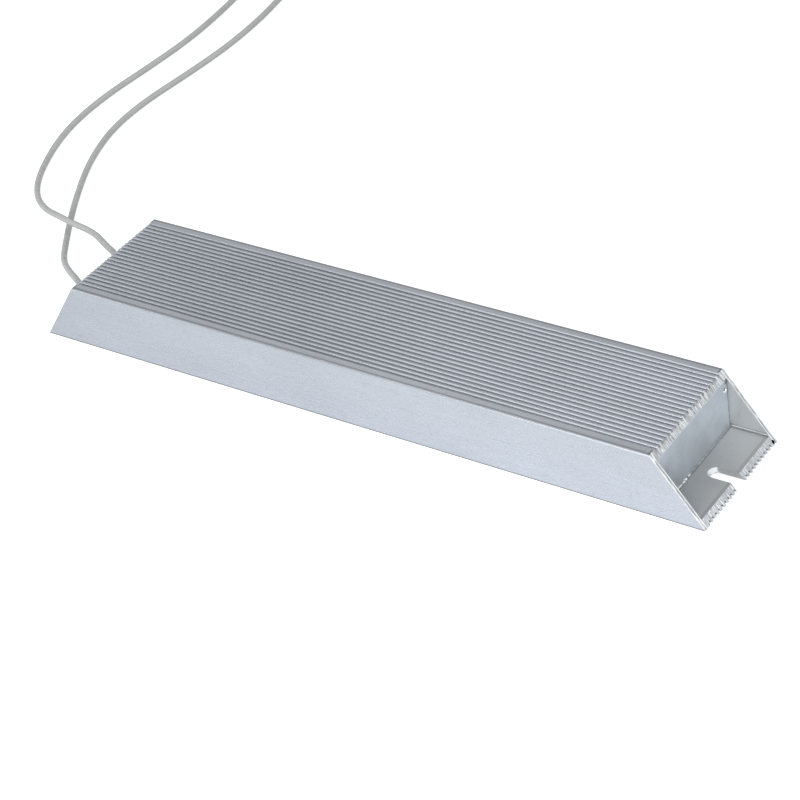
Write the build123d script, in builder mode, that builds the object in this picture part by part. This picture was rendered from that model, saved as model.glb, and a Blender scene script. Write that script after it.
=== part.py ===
from build123d import *
import math
import os

# Braking resistor: a wire-wound element on a ceramic board, bedded in quartz sand inside a
# ribbed aluminium extrusion whose two ends are sawn at a slant and slotted for a screw.
# Frame: X along the housing, leads at -X, Z up, origin at the middle of the housing's base.
# All sizes are in millimetres.

# Housing: one length of extrusion
housing_length = 335.0
housing_width = 60.0
housing_height = 30.0
side_wall = 2.0
floor_thickness = 3.4
roof_thickness = 3.0
mitre_run = 22.0
top_corner_radius = 0.9
foot_corner_radius = 1.3
cavity_corner_radius = 0.6

# Ribs: round-bottomed grooves between two flat edge strips, above and below
edge_strip_width = 4.4
groove_pitch = 2.5
groove_width = 1.2
groove_depth = 1.15
crest_radius = 0.5

# Mounting slots in the floor, open at the feet
slot_width = 6.6
slot_inner_end = 153.3
slot_offset = -0.6

# Small drilled pit in the sawn face of the far right foot
pit_radius = 0.75
pit_depth = 3.0
pit_from_side = 2.2
pit_from_base = 1.05

# End plates and the punch mark that holds each
plate_thickness = 2.0
plate_proud = 0.15
plate_edge_radius = 0.4
stake_radius = 0.65
stake_depth = 1.0
stake_from_wall = 2.3
stake_height = 22.85

# Clearance between pieces that seat against each other
fit = 0.05

# Cement plugs, saddles and the former that they hold
plug_depth = 15.7
saddle_thickness = 8.0
former_width = 40.0
former_thickness = 5.0
former_overhang = 2.0

# Resistance ribbon wound on the former, and the mica over and under it
ribbon_width = 2.5
ribbon_thickness = 0.5
winding_pitch = 6.0
winding_margin = 3.0
tail_width = 3.0
tail_setback = 1.0
mica_thickness = 0.5
mica_overlap = 0.45
mica_end_gap = 1.0

# Clips that join the winding to the conductors and to the return wire
clip_width = 6.0
clip_thickness = 0.5
clip_reach = 5.0
ear_height = 4.0
ear_margin = 2.0
pin_radius = 0.8
pin_length = 5.0
return_wire_radius = 1.0
return_sleeve_wall = 0.65
return_sleeve_reach = 0.9

# Leads
lead_offset = 12.5
lead_radius = 1.5
conductor_radius = 0.8
ferrule_radius = 2.0
ferrule_length = 8.0
ferrule_gap = 1.5
bushing_body_radius = 2.7
bushing_flange_radius = 3.75
bushing_flange_thickness = 1.65

# Ring terminals
barrel_radius = 1.8
barrel_length = 6.0
tongue_width = 5.0
ring_radius = 5.0
ring_hole_radius = 2.65
ring_thickness = 1.0
ring_distance = 13.0
terminal_sleeve_radius = 2.5
terminal_sleeve_length = 9.0
terminal_sleeve_over_lead = 2.5

# Places worked out from the sizes above
cavity_width = housing_width - 2 * side_wall
cavity_height = housing_height - floor_thickness - roof_thickness
roof_underside = housing_height - roof_thickness
mid_height = (floor_thickness + roof_underside) / 2
mitre_slope = mitre_run / housing_height
groove_count = int((housing_width - 2 * edge_strip_width) / groove_pitch) + 1
groove_straight = groove_depth - groove_width / 2
crest_fillet = min(crest_radius, 0.9 * groove_straight, 0.45 * (groove_pitch - groove_width))

plate_face_x = housing_length / 2 - mitre_slope * roof_underside + plate_proud
plate_back_x = plate_face_x - plate_thickness
exit_x = plate_face_x + bushing_flange_thickness
plug_outer_x = plate_back_x - fit
plug_inner_x = plug_outer_x - plug_depth
saddle_outer_x = plug_inner_x - fit
saddle_inner_x = saddle_outer_x - saddle_thickness
former_end_x = saddle_outer_x + former_overhang
winding_reach = saddle_inner_x - winding_margin
mica_end_x = saddle_inner_x - mica_end_gap

former_top = mid_height + former_thickness / 2
former_bottom = mid_height - former_thickness / 2
ribbon_top = former_top + fit + ribbon_thickness
ribbon_bottom = former_bottom - fit - ribbon_thickness
ribbon_side = former_width / 2 + fit + ribbon_thickness
mica_half_width = ribbon_side + mica_overlap
mica_top = ribbon_top + fit + mica_thickness
mica_bottom = ribbon_bottom - fit - mica_thickness
clip_top = ribbon_top + fit + clip_thickness
clip_bottom = former_bottom - fit - clip_thickness
bed_top = max(mica_top, clip_top)
return_offset = (mica_half_width + cavity_width / 2) / 2
return_sleeve_radius = return_wire_radius + fit + return_sleeve_wall

web_inner_x = former_end_x + fit
web_outer_x = web_inner_x + clip_thickness
pin_end_x = web_outer_x + pin_length
ferrule_inner_x = web_outer_x + ferrule_gap
ferrule_outer_x = ferrule_inner_x + ferrule_length
wire_bore_radius = max(pin_radius, conductor_radius) + fit

# Routes of the two leads: straight out of the bushing, down to the bench, then away.
# The far lead crosses over the near one in a long low hump just past the housing's end.
lead_routes = {
    "near": [
        (-exit_x, -lead_offset, mid_height),
        (-exit_x - 8.2, -lead_offset, mid_height),
        (-166.5, -6.8, 14.6),
        (-179.6, 1.7, 10.0),
        (-197.3, 15.3, 3.0),
        (-208.9, 30.6, 1.55),
        (-220.2, 47.5, 1.55),
        (-229.1, 61.7, 1.55),
        (-241.2, 83.3, 1.55),
        (-248.9, 101.0, 1.55),
        (-255.4, 123.0, 1.55),
        (-256.4, 150.0, 1.55),
        (-252.5, 180.0, 1.55),
        (-249.6, 212.0, 1.55),
        (-250.8, 244.0, 1.55),
        (-255.3, 272.0, 1.55),
        (-257.0, 292.0, 1.55),
        (-254.0, 309.0, 2.55),
        (-249.5, 318.0, 2.55),
    ],
    "far": [
        (-exit_x, lead_offset, mid_height),
        (-exit_x - 9, lead_offset, mid_height),
        (-164.5, 17.0, 14.6),
        (-172.4, 21.7, 13.0),
        (-188.9, 31.5, 10.6),
        (-208.4, 36.8, 8.1),
        (-220.8, 39.9, 7.7),
        (-235.5, 47.2, 2.6),
        (-248.8, 55.0, 1.55),
        (-259.6, 67.7, 1.55),
        (-268.1, 84.1, 1.55),
        (-275.5, 103.2, 1.55),
        (-280.0, 124.0, 1.55),
        (-280.8, 150.0, 1.55),
        (-277.6, 180.0, 1.55),
        (-275.4, 212.0, 1.55),
        (-277.4, 244.0, 1.55),
        (-281.5, 272.0, 1.55),
        (-281.7, 291.0, 1.55),
        (-278.0, 307.0, 2.55),
        (-273.5, 316.0, 2.55),
    ],
}
lead_sides = {"near": -1, "far": 1}
end_sides = {"left": -1, "right": 1}

os.makedirs("parts", exist_ok=True)


def save(piece, name):
    """Label a finished piece and write it as its own file."""
    piece.label = name
    export_step(piece, f"parts/{name}.step")


def mitre_x(height):
    """How far out the slanted end reaches at a height."""
    return housing_length / 2 - mitre_slope * height


def cavity_band(low, high):
    """Draw the cavity's section between two heights, less the fit all round."""
    with Locations((0, mid_height)):
        RectangleRounded(cavity_width - 2 * fit, cavity_height - 2 * fit, cavity_corner_radius)
    with Locations((0, low)):
        Rectangle(cavity_width, high - low, align=(Align.CENTER, Align.MIN), mode=Mode.INTERSECT)


# One groove's outline, its mouth at the origin and its round bottom below, with the crests of
# the ribs beside it rolled over into its sides.
beyond = 5.0
half_groove = groove_width / 2
half_mouth = half_groove + crest_fillet

with BuildSketch() as groove:
    with BuildLine():
        CenterArc((-half_mouth, -crest_fillet), crest_fillet, 90, -90)
        Line((-half_groove, -crest_fillet), (-half_groove, -groove_straight))
        CenterArc((0, -groove_straight), half_groove, 180, 180)
        Line((half_groove, -groove_straight), (half_groove, -crest_fillet))
        CenterArc((half_mouth, -crest_fillet), crest_fillet, 180, -90)
        Polyline((half_mouth, 0), (half_mouth, beyond), (-half_mouth, beyond), (-half_mouth, 0))
    make_face()

# The housing. Its section is drawn once, with the grooves cut into the top and the base,
# and the slanted ends, the screw slots and the pit are cut from the plain length.
groove_places = [(index - (groove_count - 1) / 2) * groove_pitch for index in range(groove_count)]

with BuildPart() as housing:
    with BuildSketch(Plane.YZ.offset(-housing_length / 2)):
        Rectangle(housing_width, housing_height, align=(Align.CENTER, Align.MIN))
        outer_corners = vertices()
        fillet(outer_corners.group_by(Axis.Y)[-1], top_corner_radius)
        fillet(outer_corners.group_by(Axis.Y)[0], foot_corner_radius)
        with Locations(*[(place, housing_height) for place in groove_places]):
            add(groove.sketch, mode=Mode.SUBTRACT)
        with Locations(*[(place, 0) for place in groove_places]):
            add(groove.sketch, rotation=180, mode=Mode.SUBTRACT)
        with Locations((0, mid_height)):
            RectangleRounded(cavity_width, cavity_height, cavity_corner_radius, mode=Mode.SUBTRACT)
    extrude(amount=housing_length)
    with BuildSketch(Plane.XZ):
        Polygon(
            (mitre_x(-beyond), -beyond),
            (housing_length, -beyond),
            (housing_length, housing_height + beyond),
            (mitre_x(housing_height + beyond), housing_height + beyond),
            align=None,
        )
        mirror(about=Plane.YZ)
    extrude(amount=housing_width, both=True, mode=Mode.SUBTRACT)
    with BuildSketch(Plane.XY.offset(-beyond)):
        slot_reach = housing_length - slot_inner_end
        for side in (-1, 1):
            with Locations((side * (slot_inner_end + slot_reach / 2), slot_offset)):
                SlotOverall(slot_reach, slot_width)
    extrude(amount=beyond + floor_thickness + fit, mode=Mode.SUBTRACT)
    with BuildSketch(Plane.YZ.offset(mitre_x(pit_from_base) - pit_depth)):
        with Locations((housing_width / 2 - pit_from_side, pit_from_base)):
            Circle(pit_radius)
    extrude(amount=pit_depth + beyond, mode=Mode.SUBTRACT)
save(housing.part, "housing")

# The end plates, pressed into the section and held by a punch mark near the far wall.
# The left one has a hole for each lead's bushing.
for end, side in end_sides.items():
    with BuildPart() as end_plate:
        with BuildSketch(Plane.YZ.offset(side * plate_back_x)):
            cavity_band(floor_thickness, roof_underside)
            if end == "left":
                with Locations((-lead_offset, mid_height), (lead_offset, mid_height)):
                    Circle(bushing_body_radius + fit, mode=Mode.SUBTRACT)
        extrude(amount=side * plate_thickness)
        outer_face = end_plate.faces().sort_by(Axis.X)[-1 if side > 0 else 0]
        fillet(outer_face.outer_wire().edges(), plate_edge_radius)
        stake_place = cavity_width / 2 - stake_from_wall
        with BuildSketch(Plane.YZ.offset(side * (plate_face_x - stake_depth))):
            with Locations((stake_place, stake_height)):
                Circle(stake_radius)
        extrude(amount=side * beyond, mode=Mode.SUBTRACT)
    save(end_plate.part, f"end_plate_{end}")

# The former, a flat ceramic board that carries the winding.
with BuildPart() as winding_former:
    with BuildSketch(Plane.XY.offset(former_bottom)):
        Rectangle(2 * former_end_x, former_width)
    extrude(amount=former_thickness)
save(winding_former.part, "winding_former")

# The resistance ribbon. It crosses the top square and the underside at a slant, one pitch a
# turn, and a strap leaves it along the top at each end.
turn_count = int(2 * winding_reach / winding_pitch) + 1
turn_places = [(index - (turn_count - 1) / 2) * winding_pitch for index in range(turn_count)]
tail_end_x = former_end_x - tail_setback
ribbon_half = ribbon_width / 2

with BuildPart() as resistance_winding:
    with BuildSketch(Plane.XY.offset(former_top + fit)):
        with Locations(*[(place, 0) for place in turn_places]):
            Rectangle(ribbon_width, 2 * ribbon_side)
        for side in (-1, 1):
            tail_start_x = turn_places[-1] - ribbon_half
            with Locations((side * (tail_start_x + tail_end_x) / 2, side * lead_offset)):
                Rectangle(tail_end_x - tail_start_x, tail_width)
    extrude(amount=ribbon_thickness)
    with BuildSketch(Plane.XY.offset(ribbon_bottom)):
        side_places = []
        for place in turn_places:
            if place > turn_places[0]:
                side_places.append((place, -ribbon_side + ribbon_thickness / 2))
            if place < turn_places[-1]:
                side_places.append((place, ribbon_side - ribbon_thickness / 2))
        with Locations(*side_places):
            Rectangle(ribbon_width, ribbon_thickness)
    extrude(amount=ribbon_top - ribbon_bottom)
    with BuildSketch(Plane.XY.offset(ribbon_bottom)):
        for place in turn_places[:-1]:
            Polygon(
                (place - ribbon_half, ribbon_side),
                (place + ribbon_half, ribbon_side),
                (place + winding_pitch + ribbon_half, -ribbon_side),
                (place + winding_pitch - ribbon_half, -ribbon_side),
                align=None,
            )
    extrude(amount=ribbon_thickness)
save(resistance_winding.part, "resistance_winding")

# A mica sheet over and one under the winding.
for level, sheet_bottom in {"upper": mica_top - mica_thickness, "lower": mica_bottom}.items():
    with BuildPart() as mica_sheet:
        with BuildSketch(Plane.XY.offset(sheet_bottom)):
            Rectangle(2 * mica_end_x, 2 * mica_half_width)
        extrude(amount=mica_thickness)
    save(mica_sheet.part, f"mica_sheet_{level}")

# The ceramic saddles stand on the floor, carry the former in an open notch, and have a
# hole for the return wire's sleeve.
for end, side in end_sides.items():
    with BuildPart() as former_saddle:
        with BuildSketch(Plane.YZ.offset(side * saddle_inner_x)):
            cavity_band(floor_thickness, bed_top)
            with Locations((0, former_bottom - fit)):
                Rectangle(
                    former_width + 2 * fit,
                    housing_height,
                    align=(Align.CENTER, Align.MIN),
                    mode=Mode.SUBTRACT,
                )
            with Locations((return_offset, mid_height)):
                Circle(return_sleeve_radius + fit, mode=Mode.SUBTRACT)
        extrude(amount=side * saddle_thickness)
    save(former_saddle.part, f"former_saddle_{end}")

# Quartz sand, set hard: a trough that the winding lies in, and a slab over it.
with BuildPart() as sand_fill_lower:
    with BuildSketch(Plane.YZ.offset(-saddle_inner_x + fit)):
        cavity_band(floor_thickness, bed_top)
        with Locations((0, mica_bottom - fit)):
            Rectangle(
                2 * (mica_half_width + fit),
                housing_height,
                align=(Align.CENTER, Align.MIN),
                mode=Mode.SUBTRACT,
            )
        with Locations((return_offset, mid_height)):
            Circle(return_sleeve_radius + fit, mode=Mode.SUBTRACT)
    extrude(amount=2 * (saddle_inner_x - fit))
save(sand_fill_lower.part, "sand_fill_lower")

with BuildPart() as sand_fill_upper:
    with BuildSketch(Plane.YZ.offset(-saddle_outer_x)):
        cavity_band(bed_top + fit, roof_underside)
    extrude(amount=2 * saddle_outer_x)
save(sand_fill_upper.part, "sand_fill_upper")

# The cement plugs seal both ends behind the plates. A pocket in each clears the former's
# end and its clips, and the left plug is cast round the ferrules and the leads.
pocket_low = clip_bottom - fit
pocket_high = bed_top + fit
pocket_half_width = return_offset + ear_margin + fit
pocket_depth = web_outer_x + fit - plug_inner_x

for end, side in end_sides.items():
    with BuildPart() as cement_plug:
        with BuildSketch(Plane.YZ.offset(side * plug_inner_x)):
            cavity_band(floor_thickness, roof_underside)
        extrude(amount=side * plug_depth)
        with BuildSketch(Plane.YZ.offset(side * plug_inner_x)):
            with Locations((0, pocket_low)):
                Rectangle(
                    2 * pocket_half_width,
                    pocket_high - pocket_low,
                    align=(Align.CENTER, Align.MIN),
                )
        extrude(amount=side * pocket_depth, mode=Mode.SUBTRACT)
        if end == "left":
            with BuildSketch(Plane.YZ.offset(-plug_inner_x)):
                with Locations((-lead_offset, mid_height), (lead_offset, mid_height)):
                    Circle(ferrule_radius + fit)
            extrude(amount=-(ferrule_outer_x + fit - plug_inner_x), mode=Mode.SUBTRACT)
            with BuildSketch(Plane.YZ.offset(-plug_inner_x)):
                with Locations((-lead_offset, mid_height), (lead_offset, mid_height)):
                    Circle(lead_radius + fit)
            extrude(amount=-plug_depth, mode=Mode.SUBTRACT)
    save(cement_plug.part, f"cement_plug_{end}")


def clip_profile(side):
    """Draw a clip's bent strip, seen from the side: top leaf, web over the end, short lower leaf."""
    Polygon(
        (side * (former_end_x - clip_reach), clip_top),
        (side * web_outer_x, clip_top),
        (side * web_outer_x, clip_bottom),
        (side * (saddle_outer_x + 2 * fit), clip_bottom),
        (side * (saddle_outer_x + 2 * fit), clip_bottom + clip_thickness),
        (side * web_inner_x, clip_bottom + clip_thickness),
        (side * web_inner_x, clip_top - clip_thickness),
        (side * (former_end_x - clip_reach), clip_top - clip_thickness),
        align=None,
    )


def clip_ear():
    """Draw the ear that reaches from a clip's web to the return wire."""
    ear_start = lead_offset
    ear_end = return_offset + ear_margin
    with Locations(((ear_start + ear_end) / 2, mid_height)):
        Rectangle(ear_end - ear_start, ear_height)


# The near terminal clip takes the winding's first tail to the near lead, the return clip
# takes its last tail to the return wire, and the far terminal clip takes that to the far lead.
clips = {
    "terminal_clip_near": {"side": -1, "place": -lead_offset, "ear": False, "pin": True},
    "terminal_clip_far": {"side": -1, "place": lead_offset, "ear": True, "pin": True},
    "return_clip": {"side": 1, "place": lead_offset, "ear": True, "pin": False},
}
for name, clip in clips.items():
    side = clip["side"]
    with BuildPart() as terminal_clip:
        with BuildSketch(Plane.XZ.offset(-clip["place"])):
            clip_profile(side)
        extrude(amount=clip_width / 2, both=True)
        if clip["ear"]:
            with BuildSketch(Plane.YZ.offset(side * web_inner_x)):
                clip_ear()
            extrude(amount=side * clip_thickness)
        if clip["pin"]:
            with BuildSketch(Plane.YZ.offset(side * web_inner_x)):
                with Locations((clip["place"], mid_height)):
                    Circle(pin_radius)
            extrude(amount=side * (clip_thickness + pin_length))
    save(terminal_clip.part, name)

# The return wire runs beside the former inside its sleeve.
with BuildPart() as return_wire:
    with BuildSketch(Plane.YZ.offset(-former_end_x)):
        with Locations((return_offset, mid_height)):
            Circle(return_wire_radius)
    extrude(amount=2 * former_end_x)
save(return_wire.part, "return_wire")

with BuildPart() as return_wire_sleeve:
    with BuildSketch(Plane.YZ.offset(-saddle_outer_x - return_sleeve_reach)):
        with Locations((return_offset, mid_height)):
            Circle(return_sleeve_radius)
            Circle(return_wire_radius + fit, mode=Mode.SUBTRACT)
    extrude(amount=2 * (saddle_outer_x + return_sleeve_reach))
save(return_wire_sleeve.part, "return_wire_sleeve")

# Inside stretch of each lead: crimp ferrule, copper conductor, insulation and bushing.
for lead, side in lead_sides.items():
    lead_place = (side * lead_offset, mid_height)

    with BuildPart() as ferrule:
        with BuildSketch(Plane.YZ.offset(-ferrule_outer_x)):
            with Locations(lead_place):
                Circle(ferrule_radius)
                Circle(wire_bore_radius, mode=Mode.SUBTRACT)
        extrude(amount=ferrule_length)
    save(ferrule.part, f"ferrule_{lead}")

    with BuildPart() as conductor:
        with BuildSketch(Plane.YZ.offset(-exit_x)):
            with Locations(lead_place):
                Circle(conductor_radius)
        extrude(amount=exit_x - pin_end_x - fit)
    save(conductor.part, f"conductor_{lead}")

    with BuildPart() as lead_tail:
        with BuildSketch(Plane.YZ.offset(-exit_x)):
            with Locations(lead_place):
                Circle(lead_radius)
                Circle(wire_bore_radius, mode=Mode.SUBTRACT)
        extrude(amount=exit_x - ferrule_outer_x - fit)
    save(lead_tail.part, f"lead_tail_{lead}")

    with BuildPart() as lead_bushing:
        with BuildSketch(Plane.YZ.offset(-exit_x)):
            with Locations(lead_place):
                Circle(bushing_flange_radius)
        extrude(amount=bushing_flange_thickness - fit)
        with BuildSketch(Plane.YZ.offset(-exit_x)):
            with Locations(lead_place):
                Circle(bushing_body_radius)
        extrude(amount=exit_x - plate_back_x)
        with BuildSketch(Plane.YZ.offset(-exit_x)):
            with Locations(lead_place):
                Circle(lead_radius + fit)
        extrude(amount=exit_x, mode=Mode.SUBTRACT)
    save(lead_bushing.part, f"lead_bushing_{lead}")


def bend_radii(points):
    """The radius at each corner of a route, as large as the two runs beside it allow."""
    corners = [Vector(*point) for point in points]
    radii = []
    for before, here, after in zip(corners, corners[1:], corners[2:]):
        turn = math.radians((here - before).get_angle(after - here))
        shorter_run = min((here - before).length, (after - here).length)
        radii.append(0.45 * shorter_run / math.tan(turn / 2))
    return radii


# The free stretch of each lead, and the ring terminal with its sleeve on the lead's end.
for lead, points in lead_routes.items():
    radii = bend_radii(points)
    print(f"lead_{lead} bend radii", [round(radius, 1) for radius in radii])
    lead_end = Vector(*points[-1])
    end_direction = (lead_end - Vector(*points[-2])).normalized()
    end_plane = Plane(origin=lead_end, z_dir=end_direction)

    with BuildPart() as lead_tube:
        with BuildLine() as route:
            FilletPolyline(*points, radius=radii)
        with BuildSketch(Plane(origin=points[0], z_dir=(-1, 0, 0))):
            Circle(lead_radius)
        sweep(path=route.wires()[0])
    route_length = route.wires()[0].length
    section_times_length = math.pi * lead_radius**2 * route_length
    print(f"lead_{lead} length {route_length:.1f}, volume {lead_tube.part.volume:.1f}",
          f"against section times length {section_times_length:.1f}")
    save(lead_tube.part, f"lead_{lead}")

    with BuildPart() as terminal_sleeve:
        with BuildSketch(end_plane.offset(-terminal_sleeve_over_lead)):
            Circle(terminal_sleeve_radius)
            Circle(max(barrel_radius, lead_radius) + fit, mode=Mode.SUBTRACT)
        extrude(amount=terminal_sleeve_length)
    save(terminal_sleeve.part, f"terminal_sleeve_{lead}")

    tongue_plane = Plane(
        origin=lead_end - Vector(0, 0, ring_thickness / 2), x_dir=end_direction, z_dir=(0, 0, 1)
    )
    with BuildPart() as ring_terminal:
        with BuildSketch(end_plane):
            Circle(barrel_radius)
        extrude(amount=barrel_length)
        with BuildSketch(tongue_plane):
            with Locations((ring_distance, 0)):
                Circle(ring_radius)
            tongue_start = terminal_sleeve_length - terminal_sleeve_over_lead + fit
            with Locations(((tongue_start + ring_distance) / 2, 0)):
                Rectangle(ring_distance - tongue_start, tongue_width)
            with Locations((ring_distance / 2, 0)):
                Rectangle(ring_distance, barrel_radius)
            with Locations((ring_distance, 0)):
                Circle(ring_hole_radius, mode=Mode.SUBTRACT)
        extrude(amount=ring_thickness)
    save(ring_terminal.part, f"ring_terminal_{lead}")
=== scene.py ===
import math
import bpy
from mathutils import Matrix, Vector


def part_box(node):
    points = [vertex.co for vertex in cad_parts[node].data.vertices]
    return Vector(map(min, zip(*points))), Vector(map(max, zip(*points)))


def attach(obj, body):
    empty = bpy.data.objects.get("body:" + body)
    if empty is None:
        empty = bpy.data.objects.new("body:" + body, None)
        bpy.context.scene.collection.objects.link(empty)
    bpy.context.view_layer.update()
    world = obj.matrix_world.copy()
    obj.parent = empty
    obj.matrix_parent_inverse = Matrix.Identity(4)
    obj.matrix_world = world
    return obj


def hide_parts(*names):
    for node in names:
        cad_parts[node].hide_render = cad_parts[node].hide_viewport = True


bl_info = {
    "name": "Braking Resistor",
    "version": (1, 0, 0),
    "blender": (4, 5, 0),
    "location": "3D View > Sidebar > Resistor",
    "description": "Gives the aluminium-housed braking resistor its leads, small fittings and finishes",
    "category": "Object",
}

import bmesh
import bpy
from mathutils import Matrix, Vector, noise

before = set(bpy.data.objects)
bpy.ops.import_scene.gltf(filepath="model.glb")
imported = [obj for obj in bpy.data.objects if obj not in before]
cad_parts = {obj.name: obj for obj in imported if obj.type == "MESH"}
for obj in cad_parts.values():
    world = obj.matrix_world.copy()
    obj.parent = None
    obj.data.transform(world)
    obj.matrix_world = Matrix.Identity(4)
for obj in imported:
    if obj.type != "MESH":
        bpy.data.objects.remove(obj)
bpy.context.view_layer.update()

MM = 0.001
LENGTHWISE = (1, 0, 0)

# The marks of paired pieces, and which way from the middle each lies
SIDES = {"near": -1, "far": 1}
ENDS = {"left": -1, "right": 1}

# Corners of the CAD's boxes that the sizes below come from
housing_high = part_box("housing")[1]
plate_low, plate_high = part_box("end_plate_right")
bushing_low, bushing_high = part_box("lead_bushing_near")
tail_low, tail_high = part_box("lead_tail_near")

# The housing's section and its slanted ends
ROOF_HEIGHT = housing_high.z
HALF_WIDTH = housing_high.y
HALF_LENGTH = housing_high.x
MITRE_RUN = 22 * MM
RIBBED_HALF_WIDTH = 26.3 * MM
GROOVE_DEPTH = 1.15 * MM
GROOVE_PITCH = 2.5 * MM
CAVITY_HALF_WIDTH = plate_high.y
CAVITY_FLOOR = plate_low.z
CAVITY_ROOF = plate_high.z

# Which way the saw cut at the right end faces, and how far out along that line it lies
SLOPE = Vector((ROOF_HEIGHT, 0, MITRE_RUN)).normalized()
SAW_PLANE = HALF_LENGTH * SLOPE.x

# The screw slots, and the pit in the far foot
SLOT_INNER_END = 153.3 * MM
SLOT_OFFSET = -0.6 * MM
SLOT_WIDTH = 6.6 * MM
PIT_OFFSET = 27.8 * MM
PIT_HEIGHT = 1.05 * MM
PIT_REACH = 0.8 * MM

# The end plates, and the punch mark in each
PLATE_FACE = plate_high.x
STAKE_OFFSET = 25.7 * MM
STAKE_HEIGHT = 22.85 * MM
STAKE_RADIUS = 0.65 * MM

# Where the leads leave their bushings
EXIT_X = bushing_low.x
EXIT_HEIGHT = (bushing_low.z + bushing_high.z) / 2
LEAD_OFFSET = abs(bushing_low.y + bushing_high.y) / 2
LEAD_DIAMETER = tail_high.z - tail_low.z
BUSHING_LENGTH = bushing_high.x - bushing_low.x

# How finely round shapes are turned
TURNED_STEPS = 48
RING_STEPS = 64
BARREL_STEPS = 32
LIP_STEPS = 32
LIP_CORNERS = 8
BEAD_CORNERS = 12
BEAD_CUTS = 110
SWEEP_STEPS = 96

# How far edges are rounded, and from which angle an edge counts as sharp
SHEET_EDGE = 0.12 * MM
SLEEVE_EDGE = 0.2 * MM
FLANGE_EDGE = 0.5 * MM
MOUTH_EDGE = 0.3 * MM
SHARP_ANGLE = math.radians(80)
CREASE_ANGLE = math.radians(40)

# Distances under which corners are merged, or count as lying in one place
MERGE_DISTANCE = 0.002 * MM
TOUCHING = 0.001 * MM

# How far a terminal's neck laps into the sleeve and the barrel, and the play of a lead in its bushing
NECK_LAP = 0.3 * MM
BORE_PLAY = 0.05 * MM

# The two dents of the crimping tool: their middles from the lead's end, half their length at the
# rim and at the bottom, and their depth
CRIMP_PLACES = (1.6 * MM, 4.2 * MM)
CRIMP_RIM = 0.9 * MM
CRIMP_BOTTOM = 0.5 * MM
CRIMP_DEPTH = 0.22 * MM

# The cement bead: its distance from the walls, and the size of its swellings and lumps
BEAD_END_GAP = 0.3 * MM
SWELL_SPACING = 2.3 * MM
LUMP_SPACING = 0.9 * MM

# Which way the raised lip of a punch mark leans, and how far it moves out there
LIP_LEANING = Vector((0, 0.2, -0.98))
LIP_SHIFT = 0.5 * MM

# How high a lead's middle is where it lies on the bench, and at its terminal, in metres
LYING = 0.00155
RAISED = 0.00255

# Control points of the two leads in metres: out of the bushing, down to the bench, and away
LEAD_ROUTES = {
    "near": [
        (EXIT_X, -LEAD_OFFSET, EXIT_HEIGHT),
        (EXIT_X - 0.0082, -LEAD_OFFSET, EXIT_HEIGHT),
        (-0.1665, -0.0068, 0.0146),
        (-0.1796, 0.0017, 0.0100),
        (-0.1973, 0.0153, 0.0030),
        (-0.2089, 0.0306, LYING),
        (-0.2202, 0.0475, LYING),
        (-0.2291, 0.0617, LYING),
        (-0.2412, 0.0833, LYING),
        (-0.2489, 0.1010, LYING),
        (-0.2554, 0.1230, LYING),
        (-0.2564, 0.1500, LYING),
        (-0.2525, 0.1800, LYING),
        (-0.2496, 0.2120, LYING),
        (-0.2508, 0.2440, LYING),
        (-0.2553, 0.2720, LYING),
        (-0.2570, 0.2920, LYING),
        (-0.2540, 0.3090, RAISED),
        (-0.2495, 0.3180, RAISED),
    ],
    "far": [
        (EXIT_X, LEAD_OFFSET, EXIT_HEIGHT),
        (EXIT_X - 0.009, LEAD_OFFSET, EXIT_HEIGHT),
        (-0.1645, 0.0177, 0.0146),
        (-0.1724, 0.0217, 0.0130),
        (-0.1889, 0.0315, 0.0106),
        (-0.2084, 0.0368, 0.0081),
        (-0.2208, 0.0399, 0.0077),
        (-0.2355, 0.0472, 0.0026),
        (-0.2488, 0.0550, LYING),
        (-0.2596, 0.0677, LYING),
        (-0.2681, 0.0841, LYING),
        (-0.2755, 0.1032, LYING),
        (-0.2800, 0.1240, LYING),
        (-0.2808, 0.1500, LYING),
        (-0.2776, 0.1800, LYING),
        (-0.2754, 0.2120, LYING),
        (-0.2774, 0.2440, LYING),
        (-0.2815, 0.2720, LYING),
        (-0.2817, 0.2910, LYING),
        (-0.2780, 0.3070, RAISED),
        (-0.2735, 0.3160, RAISED),
    ],
}

# The floor's outline from the middle outward, as (distance, height) in metres
FLOOR_PROFILE = [(0.0, 0.0), (3.2, 0.0), (3.6, 0.06), (3.85, 0.3), (3.95, 0.9)]

# Each lamp's place, the point it is turned to, and its width, in metres
LAMPS = {
    "key": ((-0.30, -0.68, 0.70), (0.08, 0, 0.02), 0.4),
    "front": ((-0.05, -0.95, 0.28), (0.0, 0, 0.0), 0.5),
    "left": ((-0.95, -0.55, 0.30), (-0.20, 0.08, 0.0), 0.4),
    "right": ((0.42, -0.58, 0.30), (0.12, -0.03, 0.0), 0.35),
    "end": ((0.90, 0.62, 0.34), (0.16, 0.0, 0.015), 0.45),
    "back": ((-0.46, 0.36, 0.90), (0.11, 0.0, 0.03), 0.35),
}

# How far patterns are drawn out: along the housing, and down the sawn slope in short or long streaks
ALONG = (0.02, 1.0, 1.0)
DOWN_SLOPE = (0.12, 1.0, 0.12)
LONG_SLOPE = (0.04, 1.0, 0.04)

# The cosine of the slope's turn above which a face counts as sawn
SAWN_COSINE = 0.985

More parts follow.
